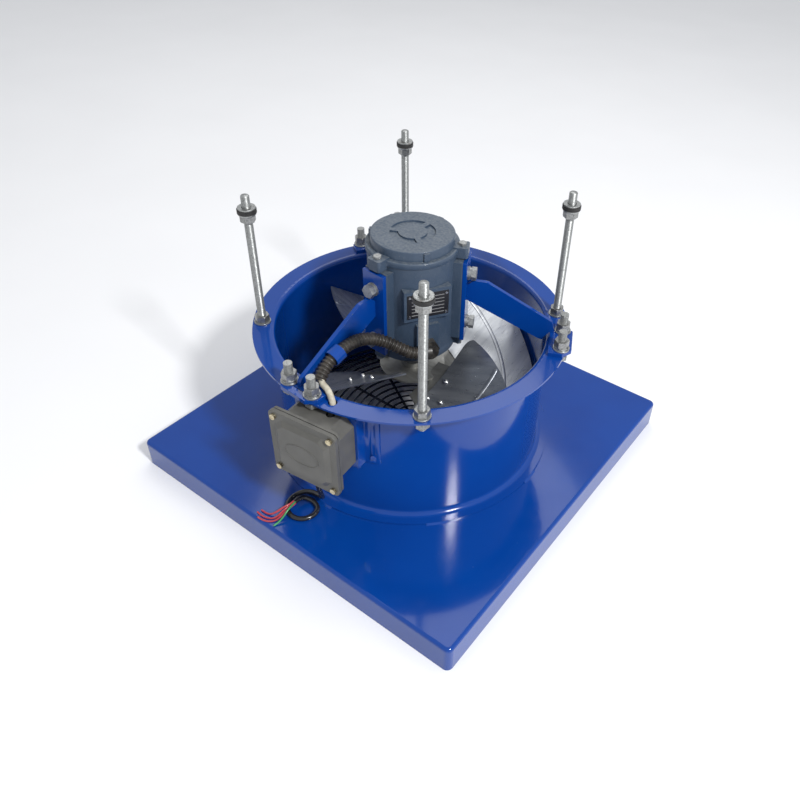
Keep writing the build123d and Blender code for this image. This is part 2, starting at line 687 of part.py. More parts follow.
def conduit_clip():
    """Band welded to the arm's side and bent round the conduit."""
    before, centre, after = (Vector(*CONDUIT_ROUTE[k]) for k in (7, 8, 9))
    direction = (after - before).normalized()
    frame = Plane(origin=centre, z_dir=direction)
    band = Cylinder(CONDUIT_D / 2 + 2.8, 17) - Cylinder(CONDUIT_D / 2 + 1.0, 17)
    arm_side = turned(block((60, 240), (-40, BAR_THICKNESS / 2), (200, 360)), LEFT)
    return frame.location * band - arm_side


# ---- junction box ---------------------------------------------------------------------------
def box_section(half, clip, depth):
    """Square prism along X with clipped corners."""
    corner = half - clip
    outline = Polyline(
        (half, -corner), (half, corner), (corner, half), (-corner, half),
        (-half, corner), (-half, -corner), (-corner, -half), (corner, -half), close=True)
    return extrude(Plane.YZ * make_face(outline), depth)


def at_box(shape, radial=0.0):
    """Puts a shape made about the box's own centre line in place."""
    return turned(Pos(radial, 0, BOX_Z) * shape, BOX_ANGLE)


def junction_box_body():
    """Cast box with clipped corners, a square rim in front and a gland hole below."""
    wall = 3.0
    depth = BOX_FRONT - BOX_BACK
    body = box_section(BOX_HALF, 14, depth)
    rim = block((depth - 4, depth), (-LID_HALF + 1, LID_HALF - 1), (-LID_HALF + 1, LID_HALF - 1))
    body += fillet(rim.edges().filter_by(Axis.X), 6)
    body -= Pos(wall, 0, 0) * box_section(BOX_HALF - wall, 12, depth)
    for y in (-LID_SCREW_HALF, LID_SCREW_HALF):
        for z in (-LID_SCREW_HALF, LID_SCREW_HALF):
            body -= Pos(depth, y, z) * Rot(0, 90, 0) * Cylinder(2.0 + THREAD_GAP, 20)
    for y in (-20, 20):
        body -= Pos(0, y, 0) * Rot(0, 90, 0) * Cylinder(2.7, 20)
    body = at_box(body, BOX_BACK)
    gland = place(BOX_ANGLE, *GLAND_PLACE, BOX_Z - BOX_HALF)
    lead = Vector(*SLEEVE_ROUTE[-1])
    body -= Pos(*gland) * Cylinder(8.0 + THREAD_GAP, 10)
    return body - Pos(lead.X, lead.Y, BOX_Z + BOX_HALF) * Cylinder(SLEEVE_D / 2 + 2, 10)


def junction_box_gasket():
    ring = block((0, 1.5), (-50, 50), (-50, 50))
    ring = fillet(ring.edges().filter_by(Axis.X), 6)
    ring -= box_section(BOX_HALF - 3, 12, 1.5)
    for y in (-LID_SCREW_HALF, LID_SCREW_HALF):
        for z in (-LID_SCREW_HALF, LID_SCREW_HALF):
            ring -= Pos(0, y, z) * Rot(0, 90, 0) * Cylinder(2.5, 20)
    return at_box(ring, BOX_FRONT)


def junction_box_lid():
    """Lid with a rounded rim and a raised panel whose edges and corners slope."""
    rim = block((0, 6), (-LID_HALF, LID_HALF), (-LID_HALF, LID_HALF))
    rim = fillet(rim.edges().filter_by(Axis.X), 7)
    low, high = 43.0, 37.0
    raised = loft([Pos(x, 0, 0) * clipped_face(half, clip) for x, half, clip
                   in ((6.0, low, 11), (11.0, high, 9))])
    lid = rim + raised - box_section(37.0, 9, 8)
    for y in (-LID_SCREW_HALF, LID_SCREW_HALF):
        for z in (-LID_SCREW_HALF, LID_SCREW_HALF):
            lid -= Pos(6, y, z) * Rot(0, 90, 0) * Cylinder(2.4, 20)
    return at_box(lid, BOX_FRONT + 1.5)


def clipped_face(half, clip):
    corner = half - clip
    return Plane.YZ * make_face(Polyline(
        (half, -corner), (half, corner), (corner, half), (-corner, half),
        (-half, corner), (-half, -corner), (-corner, -half), (corner, -half), close=True))


def junction_box_screws():
    """Pan-head screws through the lid's corners, and two from inside the box into the bracket."""
    screws = []
    top = BOX_FRONT + 7.5
    for y in (-LID_SCREW_HALF, LID_SCREW_HALF):
        for z in (-LID_SCREW_HALF, LID_SCREW_HALF):
            shank = Pos(-6, 0, 0) * Rot(0, 90, 0) * Cylinder(2.0, 13)
            head = Pos(1.6, 0, 0) * Rot(0, 90, 0) * Cylinder(4.2, 3.2)
            screws.append(at_box(Pos(0, y, z) * (shank + head), top))
    for y in (-20, 20):
        shank = radial_cylinder(0, BRACKET_WEB[0] - 2, BOX_BACK + 4, y, BOX_Z, 2.5)
        head = radial_cylinder(0, BOX_BACK + 3, BOX_BACK + 6, y, BOX_Z, 4.5)
        screws.append(turned(shank + head, BOX_ANGLE))
    return screws


def terminal_block():
    """Row of screw terminals on the box's back wall."""
    body = block((0, 16), (-30, 30), (-14, -2))
    for k in range(4):
        y = -22.5 + 15 * k
        body -= Pos(16, y, -8) * Rot(0, 90, 0) * Cylinder(3, 12)
        body -= block((4, 9), (y - 3, y + 3), (-15, -1))
    return at_box(Pos(0, 0, -12) * body, BOX_BACK + 3)


def box_bracket():
    """Hat channel: a web behind the box, two legs, and two feet curved to the duct wall."""
    web_in, web_out = BRACKET_WEB
    half, thick, foot_end = 50.0, 2.5, 70.0
    shell = DUCT_R + DUCT_WALL
    bracket = block((web_in, web_out), (-half, half), BRACKET_Z)
    for side in (-1, 1):
        leg = sorted((side * (half - thick), side * half))
        foot = sorted((side * (half - thick), side * foot_end))
        bracket += block((190, web_out), leg, BRACKET_Z)
        bracket += disc(shell + thick, *BRACKET_Z) & block((150, 230), foot, BRACKET_Z)
    for y in (-20, 20):
        bracket -= radial_cylinder(0, web_in - 1, web_out + 1, y, BOX_Z, 2.5 + THREAD_GAP)
    for angle, z in bracket_rivet_places():
        bracket -= radial_cylinder(angle, shell - 1, shell + 5, 0, z, 2.35)
    return turned(bracket - disc(shell, 100, 300), BOX_ANGLE)


def bracket_rivet_places():
    """Angles from the bracket's middle, and heights."""
    return [(side * 17.5, z) for side in (-1, 1) for z in (160.0, 224.0)]


def bracket_rivets():
    """Blind rivets that hold the bracket's feet to the duct wall."""
    rivets = []
    shell = DUCT_R + DUCT_WALL
    for angle, z in bracket_rivet_places():
        head = radial_cylinder(angle, shell + 2.6, shell + 4.6, 0, z, 4.0)
        shank = radial_cylinder(angle, shell + 0.2, shell + 3, 0, z, 2.3)
        rivets.append(turned(head + shank, BOX_ANGLE))
    return rivets


def cable_gland():
    """Hexagon gland under the box, with a domed cap that grips the supply cable."""
    low = BOX_Z - BOX_HALF
    x, y = GLAND_PLACE
    hexagon = extrude(RegularPolygon(9.5, 6, major_radius=False), 7)
    body = Pos(x, y, low - 7) * hexagon
    body += Pos(x, y, low - 12) * Cylinder(8.0, 12)
    body += Pos(x, y, low + 2) * Cylinder(8.0, 8)
    body = body - Pos(x, y, low) * Cylinder(CABLE_D / 2, 60)
    return turned(body, BOX_ANGLE)


# ---- supply cable --------------------------------------------------------------------------
FLOOR = BASE_HEIGHT + CABLE_D / 2
CABLE_START = tuple(place(BOX_ANGLE, *GLAND_PLACE, BOX_Z - BOX_HALF - 18))
# Down from the gland, then one and a half loose turns on the base panel.
CABLE_ROUTE = [
    CABLE_START, (20.0, -235.5, 110.0), (20.6, -234.0, 93.0), (20.0, -230.0, 78.0),
    (16.0, -224.5, 65.0), (5.0, -219.0, 56.0), (-10.0, -218.0, 53.6),
    (-23.5, -225.0, 52.0), (-30.5, -238.5, FLOOR + 0.8), (-28.5, -253.0, FLOOR),
    (-17.5, -264.5, FLOOR), (-2.0, -268.0, FLOOR), (12.0, -261.5, FLOOR),
    (18.5, -248.0, FLOOR), (15.5, -235.0, FLOOR), (5.0, -229.5, FLOOR + 1.2),
    (-8.0, -231.0, FLOOR + 4.2), (-16.5, -240.0, 56.9), (-15.4, -251.0, 56.9),
]
WIRE_FLOOR = BASE_HEIGHT + WIRE_D / 2
# From the sheath's end over the first turn and down onto the base panel.
WIRE_ROUTES = {
    "red_wire_1": [
        (-16.78, -251.14, 55.5), (-16.33, -255.6, 55.5), (-17.6, -263.0, 55.4),
        (-18.6, -270.0, 53.8), (-20.4, -278.5, 48.8), (-24.5, -286.0, WIRE_FLOOR),
        (-33.0, -290.5, WIRE_FLOOR), (-42.5, -292.0, WIRE_FLOOR), (-51.0, -290.5, WIRE_FLOOR)],
    "red_wire_2": [
        (-14.02, -250.86, 55.5), (-13.57, -255.3, 55.5), (-14.1, -263.0, 55.4),
        (-14.9, -270.0, 53.9), (-16.4, -279.0, 48.9), (-19.5, -287.5, WIRE_FLOOR),
        (-26.0, -293.5, WIRE_FLOOR), (-35.0, -296.4, WIRE_FLOOR), (-43.5, -296.6, WIRE_FLOOR)],
    "red_wire_3": [
        (-16.78, -251.14, 58.3), (-16.33, -255.6, 58.3), (-18.6, -263.0, 58.2),
        (-21.2, -270.0, 56.8), (-25.4, -277.0, 52.0), (-31.5, -282.5, 47.6),
        (-40.0, -285.0, WIRE_FLOOR), (-49.0, -284.5, WIRE_FLOOR)],
    "green_wire": [
        (-14.02, -250.86, 58.3), (-13.57, -255.3, 58.3), (-12.3, -263.0, 58.1),
        (-11.5, -270.0, 56.4), (-11.2, -278.5, 51.8), (-12.2, -287.0, 47.6),
        (-14.2, -294.0, WIRE_FLOOR)],
}


def supply_cable():
    return tube("supply_cable", CABLE_ROUTE, CABLE_D)


def main():
    nodes = {
        "base_panel": base_panel, "duct_shell": duct_shell, "base_welds": base_welds,
        "guard_rings": guard_rings,
        "guard_spokes": guard_spokes, "hood_studs": hood_studs, "m12_nuts": m12_nuts,
        "m12_washers": m12_washers, "rubber_washers": rubber_washers, "foot_bolts": foot_bolts,
        "foot_spring_washers": foot_spring_washers, "plate_bolts": plate_bolts,
        "plate_washers": plate_washers, "motor_housing": motor_housing,
        "motor_top_cover": motor_top_cover, "motor_bottom_shield": motor_bottom_shield,
        "cover_bolts": cover_bolts, "nameplate": nameplate, "nameplate_rivets": nameplate_rivets,
        "motor_cable_gland": motor_cable_gland, "stator_core": stator_core,
        "stator_winding": stator_winding, "bearing_outer_rings": bearing_outer_rings,
        "flexible_conduit": flexible_conduit, "conduit_clip": conduit_clip,
        "lead_sleeve": lead_sleeve, "junction_box_body": junction_box_body,
        "junction_box_gasket": junction_box_gasket, "junction_box_lid": junction_box_lid,
        "junction_box_screws": junction_box_screws, "terminal_block": terminal_block,
        "box_bracket": box_bracket, "bracket_rivets": bracket_rivets,
        "cable_gland": cable_gland, "supply_cable": supply_cable, "motor_shaft": motor_shaft,
        "rotor_core": rotor_core, "bearing_inner_rings": bearing_inner_rings,
        "bearing_balls": bearing_balls, "bearing_cages": bearing_cages, "fan_hub": fan_hub,
        "blade_rivets": blade_rivets, "hub_bolt": hub_bolt,
    }
    shapes = {name: make() for name, make in nodes.items()}
    for name, (angle, offset, bar_end) in ARMS.items():
        shapes[f"motor_plate_{name}"] = motor_plate(angle)
        shapes[f"support_arm_{name}"] = support_arm(angle, bar_end)
        shapes[f"foot_plate_{name}"] = foot_plate(angle, offset)
    for name, route in WIRE_ROUTES.items():
        shapes[name] = tube(name, route, WIRE_D)
    blank = blade_blank()
    for k in range(BLADES):
        shapes[f"fan_blade_{k + 1}"] = turned(blank, 360 / BLADES * k)
    os.makedirs("parts", exist_ok=True)
    for name, shape in shapes.items():
        solids = shape if isinstance(shape, list) else [shape]
        children = [s for item in solids for s in item.solids()]
        whole = children[0] if len(children) == 1 else Compound(children=children)
        whole.label = name
        export_step(whole, f"parts/{name}.step")


main()
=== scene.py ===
from math import atan2, cos, degrees, pi, radians, sin

import bmesh
import bpy
from mathutils import Matrix, Vector


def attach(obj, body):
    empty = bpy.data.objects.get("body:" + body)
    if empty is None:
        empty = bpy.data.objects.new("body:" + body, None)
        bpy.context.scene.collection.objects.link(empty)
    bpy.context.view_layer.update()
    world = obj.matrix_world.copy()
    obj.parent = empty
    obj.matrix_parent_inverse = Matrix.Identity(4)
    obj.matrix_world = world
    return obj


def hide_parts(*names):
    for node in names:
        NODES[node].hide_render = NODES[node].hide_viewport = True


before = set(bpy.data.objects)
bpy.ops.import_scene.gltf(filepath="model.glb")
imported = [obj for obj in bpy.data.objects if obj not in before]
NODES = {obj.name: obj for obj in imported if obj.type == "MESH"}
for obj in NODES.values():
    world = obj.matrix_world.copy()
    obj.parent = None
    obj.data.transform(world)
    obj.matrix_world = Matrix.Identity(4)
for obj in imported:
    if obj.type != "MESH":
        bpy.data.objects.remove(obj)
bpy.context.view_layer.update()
MM = 0.001

# ---- sizes, in millimetres ---------------------------------------------------------------------
STUD_R, STUD_CIRCLE_R, STUD_Z = 6.0, 218.0, (230.0, 452.0)
STUD_ANGLES = (-48.0, 42.0, 132.0, 222.0)
THREAD_PITCH, THREAD_DEPTH = 1.75, 0.75
CONDUIT_R, CONDUIT_RIB_PITCH, CONDUIT_RIB_DEPTH, CONDUIT_STEPS = 9.0, 5.3, 1.9, 36
LEFT_ARM, FACE_ANGLE, BOX_ANGLE = -93.0, -33.0, -83.4
BASE_TOP = 45.0
PLATE_RULES_Z, PLATE_RULE_PITCH, PLATE_RULES_HALF = (303.5, 332.5), 5.5, 23.5
STUD_CHAMFER = 1.2
LID_FACE_R, LID_MIDDLE_Z = 268.55, 192.0
LID_OVAL, LID_RING_WIDE, LID_RING_HIGH = (27.0, 15.5), 0.8, 0.6
CREASE_LIFT, CREASE_SINK = 0.6, -0.4
# height below which the lead sleeve is painted near black, a painted shade under the flange
SLEEVE_SHADE_TOP = 250.5
CREASE_RADII = (141.5, 144.0, 147.5, 150.0)
CABLE_D, WIRE_D = 7.4, 2.7
FLOOR = BASE_TOP + CABLE_D / 2
WIRE_FLOOR = BASE_TOP + WIRE_D / 2


# ---- node materials ----------------------------------------------------------------------------
class Shader:
    """A material around one Principled shader, with helpers for procedural inputs."""

    def __init__(self, name, base, rough, metal=0.0, coat=0.0, turn=0.0):
        self.material = bpy.data.materials.new(name)
        self.material.use_nodes = True
        self.nodes = self.material.node_tree.nodes
        self.links = self.material.node_tree.links
        self.shader = self.nodes["Principled BSDF"]
        self.set("Base Color", (*base, 1.0))
        self.set("Roughness", rough)
        self.set("Metallic", metal)
        self.set("Coat Weight", coat)
        self.set("Coat Roughness", 0.06)
        self.color = None
        self.base = base
        coord = self.add("ShaderNodeTexCoord")
        self.normal = coord.outputs["Normal"]
        self.place = coord.outputs["Object"]
        if turn:
            spin = self.add("ShaderNodeVectorRotate")
            spin.rotation_type = "Z_AXIS"
            spin.inputs["Angle"].default_value = -turn
            self.links.new(self.place, spin.inputs["Vector"])
            self.place = spin.outputs["Vector"]

    def set(self, socket, value):
        self.shader.inputs[socket].default_value = value

    def add(self, kind):
        return self.nodes.new(kind)

    def stretched(self, factors):
        node = self.add("ShaderNodeMapping")
        node.inputs["Scale"].default_value = factors
        self.links.new(self.place, node.inputs["Vector"])
        return node.outputs["Vector"]

    def noise(self, scale, detail=4.0, stretch=None, distortion=0.0):
        node = self.add("ShaderNodeTexNoise")
        node.inputs["Scale"].default_value = scale
        node.inputs["Detail"].default_value = detail
        node.inputs["Distortion"].default_value = distortion
        source = self.stretched(stretch) if stretch else self.place
        self.links.new(source, node.inputs["Vector"])
        return node.outputs["Fac"]

    def span(self, source, low, high, to_low=0.0, to_high=1.0):
        """Maps low..high onto to_low..to_high."""
        node = self.add("ShaderNodeMapRange")
        for socket, value in (("From Min", low), ("From Max", high),
                              ("To Min", to_low), ("To Max", to_high)):
            node.inputs[socket].default_value = value
        self.links.new(source, node.inputs["Value"])
        return node.outputs["Result"]

    def maths(self, operation, a, b=0.0):
        node = self.add("ShaderNodeMath")
        node.operation = operation
        for socket, value in zip(node.inputs, (a, b)):
            if isinstance(value, (int, float)):
                socket.default_value = value
            else:
                self.links.new(value, socket)
        return node.outputs["Value"]

    def axis(self, letter, source=None):
        """One coordinate of the position, or of another vector."""
        node = self.add("ShaderNodeSeparateXYZ")
        self.links.new(source or self.place, node.inputs["Vector"])
        return node.outputs[letter]

    def tint(self, factor, color):
        """Mixes a colour over what is there so far, by a factor."""
        node = self.add("ShaderNodeMix")
        node.data_type = "RGBA"
        if self.color is None:
            node.inputs["A"].default_value = (*self.base, 1.0)
        else:
            self.links.new(self.color, node.inputs["A"])
        node.inputs["B"].default_value = (*color, 1.0)
        self.links.new(factor, node.inputs["Factor"])
        self.color = node.outputs["Result"]
        self.links.new(self.color, self.shader.inputs["Base Color"])
        return self

    def rough(self, factor, low, high):
        """Roughness that varies with a noise."""
        self.links.new(self.span(factor, 0.3, 0.7, low, high), self.shader.inputs["Roughness"])
        return self

    def bump(self, height, distance, strength=1.0):
        """Adds a bump to those already there."""
        node = self.add("ShaderNodeBump")
        node.inputs["Strength"].default_value = strength
        node.inputs["Distance"].default_value = distance
        previous = self.shader.inputs["Normal"].links
        if previous:
            self.links.new(previous[0].from_socket, node.inputs["Normal"])
        self.links.new(height, node.inputs["Height"])
        self.links.new(node.outputs["Normal"], self.shader.inputs["Normal"])
        return self

    def dusted(self, color, amount, low=0.55, high=0.95, scale=60.0):
        """Dust on what faces up, patchy."""
        up = self.span(self.axis("Z", self.normal), low, high)
        patch = self.span(self.noise(scale, 6), 0.35, 0.65, 0.25, 1.0)
        factor = self.maths("MULTIPLY", self.maths("MULTIPLY", up, patch), amount)
        return self.tint(factor, color)


def enamel():
    s = Shader("enamel_blue", (0.0012, 0.041, 0.25), 0.12, coat=0.25)
    s.set("Specular IOR Level", 0.35)
    s.tint(s.span(s.noise(7, 3), 0.35, 0.65), (0.0018, 0.050, 0.285))
    s.tint(s.span(s.noise(420, 1), 0.79, 0.83, 0.0, 0.3), (0.20, 0.27, 0.42))
    s.rough(s.noise(24, 5), 0.09, 0.15)
    return s.bump(s.noise(150, 2), 0.00010, 0.3).material


def motor_paint():
    s = Shader("motor_paint", (0.032, 0.056, 0.095), 0.42, coat=0.15)
    s.tint(s.span(s.noise(45, 6), 0.35, 0.75), (0.045, 0.070, 0.112))
    s.dusted((0.135, 0.155, 0.175), 0.75, scale=260)
    s.tint(s.span(s.noise(700, 2), 0.68, 0.74, 0.0, 0.45), (0.24, 0.24, 0.22))
    s.rough(s.noise(60, 5), 0.40, 0.62)
    return s.bump(s.noise(520, 4), 0.00045, 0.6).material


def zinc(name, thread=False, rust=0.12, base=(0.42, 0.43, 0.425), dull=(0.27, 0.275, 0.27)):
    s = Shader(name, base, 0.38, metal=0.85)
    s.tint(s.span(s.noise(420, 6), 0.4, 0.7), dull)
    s.tint(s.span(s.noise(160, 6), 0.64, 0.72, 0.0, rust), (0.16, 0.085, 0.04))
    s.rough(s.noise(500, 4), 0.30, 0.48)
    if thread:
        wave = s.maths("SINE", s.maths("MULTIPLY", s.axis("Z"), 2 * pi / (THREAD_PITCH * MM)))
        s.bump(wave, 0.0006, 1.0)
    return s.bump(s.noise(900, 2), 0.0001, 0.3).material


def blade_steel(name, turn, base, dark):
    """Brushed sheet with faint streaks along the blade and fine specks."""
    s = Shader(name, base, 0.33, metal=0.8, turn=turn)
    streaks = s.noise(16, 6, stretch=(0.5, 3.2, 1.0), distortion=0.6)
    s.tint(s.span(streaks, 0.35, 0.65), dark)
    s.tint(s.span(s.noise(700, 2), 0.72, 0.78, 0.0, 0.45), (0.60, 0.60, 0.58))
    s.rough(s.noise(200, 5, stretch=(0.2, 3.0, 1.0)), 0.26, 0.40)
    return s.bump(s.noise(300, 4, stretch=(0.15, 4.0, 1.0)), 0.00008, 0.3).material


def hub_steel():
    s = Shader("hub_steel", (0.30, 0.30, 0.285), 0.42, metal=0.75)
    s.tint(s.span(s.noise(60, 6, stretch=(0.4, 2.5, 1.0)), 0.4, 0.75, 0.0, 0.8), (0.17, 0.165, 0.15))
    s.rough(s.noise(200, 4), 0.34, 0.52)
    return s.bump(s.noise(500, 3), 0.00015, 0.4).material


def cast_grey():
    s = Shader("box_casting", (0.082, 0.081, 0.074), 0.5, coat=0.1)
    s.tint(s.span(s.noise(45, 6), 0.4, 0.7), (0.105, 0.103, 0.094))
    s.dusted((0.17, 0.163, 0.145), 0.3)
    s.rough(s.noise(90, 4), 0.42, 0.60)
    return s.bump(s.noise(900, 3), 0.00025, 0.5).material


def plain(name, base, rough, metal=0.0, coat=0.0, other=None, scale=200.0, grain=0.0002):
    """A material of two close tones with a fine grain."""
    s = Shader(name, base, rough, metal=metal, coat=coat)
    s.tint(s.span(s.noise(scale, 5), 0.4, 0.7), other or tuple(0.7 * c for c in base))
    s.rough(s.noise(scale * 1.7, 4), max(rough - 0.08, 0.05), rough + 0.1)
    return s.bump(s.noise(scale * 4, 2), grain, 0.4).material


def nameplate_black():
    """Black plate with generic pale rules across it."""
    s = Shader("nameplate_black", (0.012, 0.012, 0.014), 0.35, coat=0.3)
    z = s.axis("Z")
    low, high = (v * MM for v in PLATE_RULES_Z)
    above = s.maths("SUBTRACT", z, low)
    rows = s.maths("FRACT", s.maths("MULTIPLY", above, 1 / (PLATE_RULE_PITCH * MM)))
    rule = s.maths("LESS_THAN", rows, 0.16)
    spin = s.add("ShaderNodeVectorRotate")
    spin.rotation_type = "Z_AXIS"
    spin.inputs["Angle"].default_value = -radians(FACE_ANGLE)
    s.links.new(s.place, spin.inputs["Vector"])
    across = s.maths("ABSOLUTE", s.axis("Y", spin.outputs["Vector"]))
    inside = s.maths("LESS_THAN", across, PLATE_RULES_HALF * MM)
    band = s.maths("MULTIPLY", s.maths("GREATER_THAN", z, low), s.maths("LESS_THAN", z, high))
    mask = s.maths("MULTIPLY", s.maths("MULTIPLY", rule, inside), band)
    s.tint(s.maths("MULTIPLY", mask, 0.8), (0.4, 0.4, 0.4))
    s.rough(s.noise(150, 4), 0.28, 0.45)
    return s.bump(s.noise(600, 2), 0.0001, 0.3).material


def sleeve_cream():
    """Cream fibre sleeve, painted near black below the flange as the deep shade there."""
    s = Shader("cream_sleeve", (0.56, 0.52, 0.42), 0.75)
    s.tint(s.span(s.noise(160, 5), 0.4, 0.65), (0.40, 0.36, 0.28))
    # painted shade: below this height the cream sleeve is painted near black for the shadow under the
    # flange
    s.tint(s.maths("LESS_THAN", s.axis("Z"), SLEEVE_SHADE_TOP * MM), (0.012, 0.012, 0.013))
    s.rough(s.noise(300, 3), 0.65, 0.85)
    return s.bump(s.noise(900, 3), 0.0004, 0.7).material


BLUE = enamel()
ZINC = zinc("zinc_steel")
NUT = zinc("zinc_nut", base=(0.36, 0.365, 0.36), dull=(0.20, 0.20, 0.195))
WASHER = zinc("zinc_washer", rust=0.35)
THREADED = zinc("zinc_thread", thread=True)
MOTOR = motor_paint()
CAST = cast_grey()
HUB = hub_steel()
RUBBER = plain("black_rubber", (0.012, 0.012, 0.013), 0.6, other=(0.03, 0.028, 0.026), scale=120)
BLACK = plain("black_plastic", (0.015, 0.014, 0.013), 0.4, other=(0.05, 0.045, 0.038), scale=150)
CONDUIT = plain("conduit_black", (0.020, 0.017, 0.014), 0.38, coat=0.2, other=(0.060, 0.050, 0.040),
                scale=90)
GUARD = plain("guard_wire", (0.02, 0.028, 0.05), 0.35, metal=0.4, other=(0.05, 0.055, 0.07), scale=80)
CORE = plain("core_steel", (0.20, 0.20, 0.21), 0.5, metal=0.8)
WINDING = plain("copper_winding", (0.45, 0.17, 0.07), 0.4, metal=0.7, scale=400)
BEARING = plain("bearing_steel", (0.6, 0.6, 0.6), 0.18, metal=1.0)
ALLOY = plain("rivet_aluminium", (0.68, 0.68, 0.66), 0.3, metal=1.0)
BRASS = plain("screw_brass", (0.60, 0.53, 0.36), 0.28, metal=1.0, other=(0.30, 0.24, 0.15), scale=300)
CABLE = plain("cable_black", (0.008, 0.008, 0.010), 0.22, coat=0.5, other=(0.02, 0.02, 0.022),
              scale=70, grain=0.0001)
RED = plain("wire_red", (0.50, 0.035, 0.055), 0.3, coat=0.4, other=(0.40, 0.05, 0.06), scale=60,
            grain=0.0001)
GREEN = plain("wire_green", (0.03, 0.25, 0.08), 0.3, coat=0.4, other=(0.05, 0.33, 0.12), scale=60,
              grain=0.0001)
# painted light and shade: the four blades are one steel; blade 2 is painted lighter as lit, blades 1,
# 3 and 4 darker as shaded
BLADE_LIT_AND_SHADED_TONES = (
    ((0.46, 0.48, 0.51), (0.26, 0.28, 0.32)),
    ((0.74, 0.76, 0.78), (0.50, 0.52, 0.56)),
    ((0.52, 0.54, 0.58), (0.28, 0.31, 0.36)),
    ((0.52, 0.54, 0.58), (0.30, 0.33, 0.38)),
)

LOOKS = {
    BLUE: ["base_panel", "duct_shell", "base_welds", "box_bracket", "bracket_rivets",
           "conduit_clip", "motor_plate_left", "motor_plate_right", "motor_plate_rear",
           "support_arm_left", "support_arm_right", "support_arm_rear",
           "foot_plate_left", "foot_plate_right", "foot_plate_rear"],
    MOTOR: ["motor_housing", "motor_top_cover", "motor_bottom_shield"],
    ZINC: ["plate_bolts", "cover_bolts", "hub_bolt"],
    NUT: ["m12_nuts"],
    WASHER: ["m12_washers", "foot_spring_washers", "plate_washers"],
    THREADED: ["foot_bolts"],
    CAST: ["junction_box_body", "junction_box_lid"],
    HUB: ["fan_hub"],
    RUBBER: ["rubber_washers", "junction_box_gasket"],
    BLACK: ["motor_cable_gland", "cable_gland", "terminal_block"],
    GUARD: ["guard_rings", "guard_spokes"],
    CORE: ["stator_core", "rotor_core"],
    WINDING: ["stator_winding"],
    BEARING: ["bearing_outer_rings", "bearing_inner_rings", "bearing_balls", "bearing_cages",
              "motor_shaft"],
    ALLOY: ["nameplate_rivets", "blade_rivets"],
    BRASS: ["junction_box_screws"],
    nameplate_black(): ["nameplate"],
    sleeve_cream(): ["lead_sleeve"],
}


def wear(obj, material):
    obj.data.materials.clear()
    obj.data.materials.append(material)


for look, names in LOOKS.items():
    for name in names:
        wear(NODES[name], look)
# each blade wears its own painted lit or shaded tone from the table above
for k, (base, dark) in enumerate(BLADE_LIT_AND_SHADED_TONES):
    wear(NODES[f"fan_blade_{k + 1}"], blade_steel(f"blade_steel_{k + 1}", k * pi / 2, base, dark))


def soften(name, width):
    """Welds a CAD node's split vertices and rounds its sharp edges a little."""
    obj = NODES[name]
    weld = obj.modifiers.new("weld", "WELD")
    weld.merge_threshold = 1e-6
    bevel = obj.modifiers.new("edge", "BEVEL")
    bevel.width = width * MM
    bevel.segments = 2
    bevel.limit_method = "ANGLE"
    bevel.angle_limit = radians(35)
    bevel.harden_normals = True


SOFTENED = {
    0.5: ["junction_box_lid", "junction_box_body", "motor_top_cover", "motor_bottom_shield",
          "motor_plate_left", "motor_plate_right", "motor_plate_rear", "support_arm_left",
          "support_arm_right", "support_arm_rear", "foot_plate_left", "foot_plate_right",
          "foot_plate_rear", "box_bracket"],
    0.3: ["m12_washers", "plate_bolts", "cover_bolts"],
}
for width, names in SOFTENED.items():
    for name in names:
        soften(name, width)


# ---- meshes ------------------------------------------------------------------------------------
def polar(radius, angle, z=0.0):
    return Vector((radius * cos(radians(angle)), radius * sin(radians(angle)), z))


def place(angle, radial, across, z):
    a = radians(angle)
    return Vector((radial * cos(a) - across * sin(a), radial * sin(a) + across * cos(a), z))


def add_mesh(name, points, faces, material, body="fan"):
    """A mesh from points in millimetres, smooth, that moves with a CAD body."""
    mesh = bpy.data.meshes.new(name)
    mesh.from_pydata([Vector(p) * MM for p in points], [], faces)
    mesh.update()
    work = bmesh.new()
    work.from_mesh(mesh)
    bmesh.ops.recalc_face_normals(work, faces=work.faces)
    work.to_mesh(mesh)
    work.free()
    mesh.polygons.foreach_set("use_smooth", [True] * len(mesh.polygons))
    obj = bpy.data.objects.new(name, mesh)
    bpy.context.scene.collection.objects.link(obj)
    mesh.materials.append(material)
    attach(obj, body)
    return obj


def rings_to_faces(rings, around, closed_ends=True, first=0):
    """Quads between rings of points laid one after another, and a cap at each end."""
    faces = []
    for k in range(rings - 1):
        for j in range(around):
            a, b = first + k * around + j, first + k * around + (j + 1) % around
            faces.append((a, b, b + around, a + around))
    if closed_ends:
        faces.append(tuple(first + j for j in reversed(range(around))))
        faces.append(tuple(first + (rings - 1) * around + j for j in range(around)))
    return faces


def route_curve(name, route, resolution):
    """A smooth NURBS line with the route's points as its control points."""
    curve = bpy.data.curves.new(name, "CURVE")
    curve.dimensions = "3D"
    curve.resolution_u = resolution
    spline = curve.splines.new("NURBS")
    spline.points.add(len(route) - 1)
    for point, place_mm in zip(spline.points, route):
        point.co = (*(Vector(place_mm) * MM), 1.0)
    spline.order_u = 3
    spline.use_endpoint_u = True
    return curve


def points_along(route, resolution):
    """Points of a route's NURBS line, in millimetres."""
    curve = route_curve("route", route, resolution)
    holder = bpy.data.objects.new("route", curve)
    mesh = bpy.data.meshes.new_from_object(holder)
    points = [vertex.co / MM for vertex in mesh.vertices]
    bpy.data.meshes.remove(mesh)
    bpy.data.objects.remove(holder)
    bpy.data.curves.remove(curve)
    return points


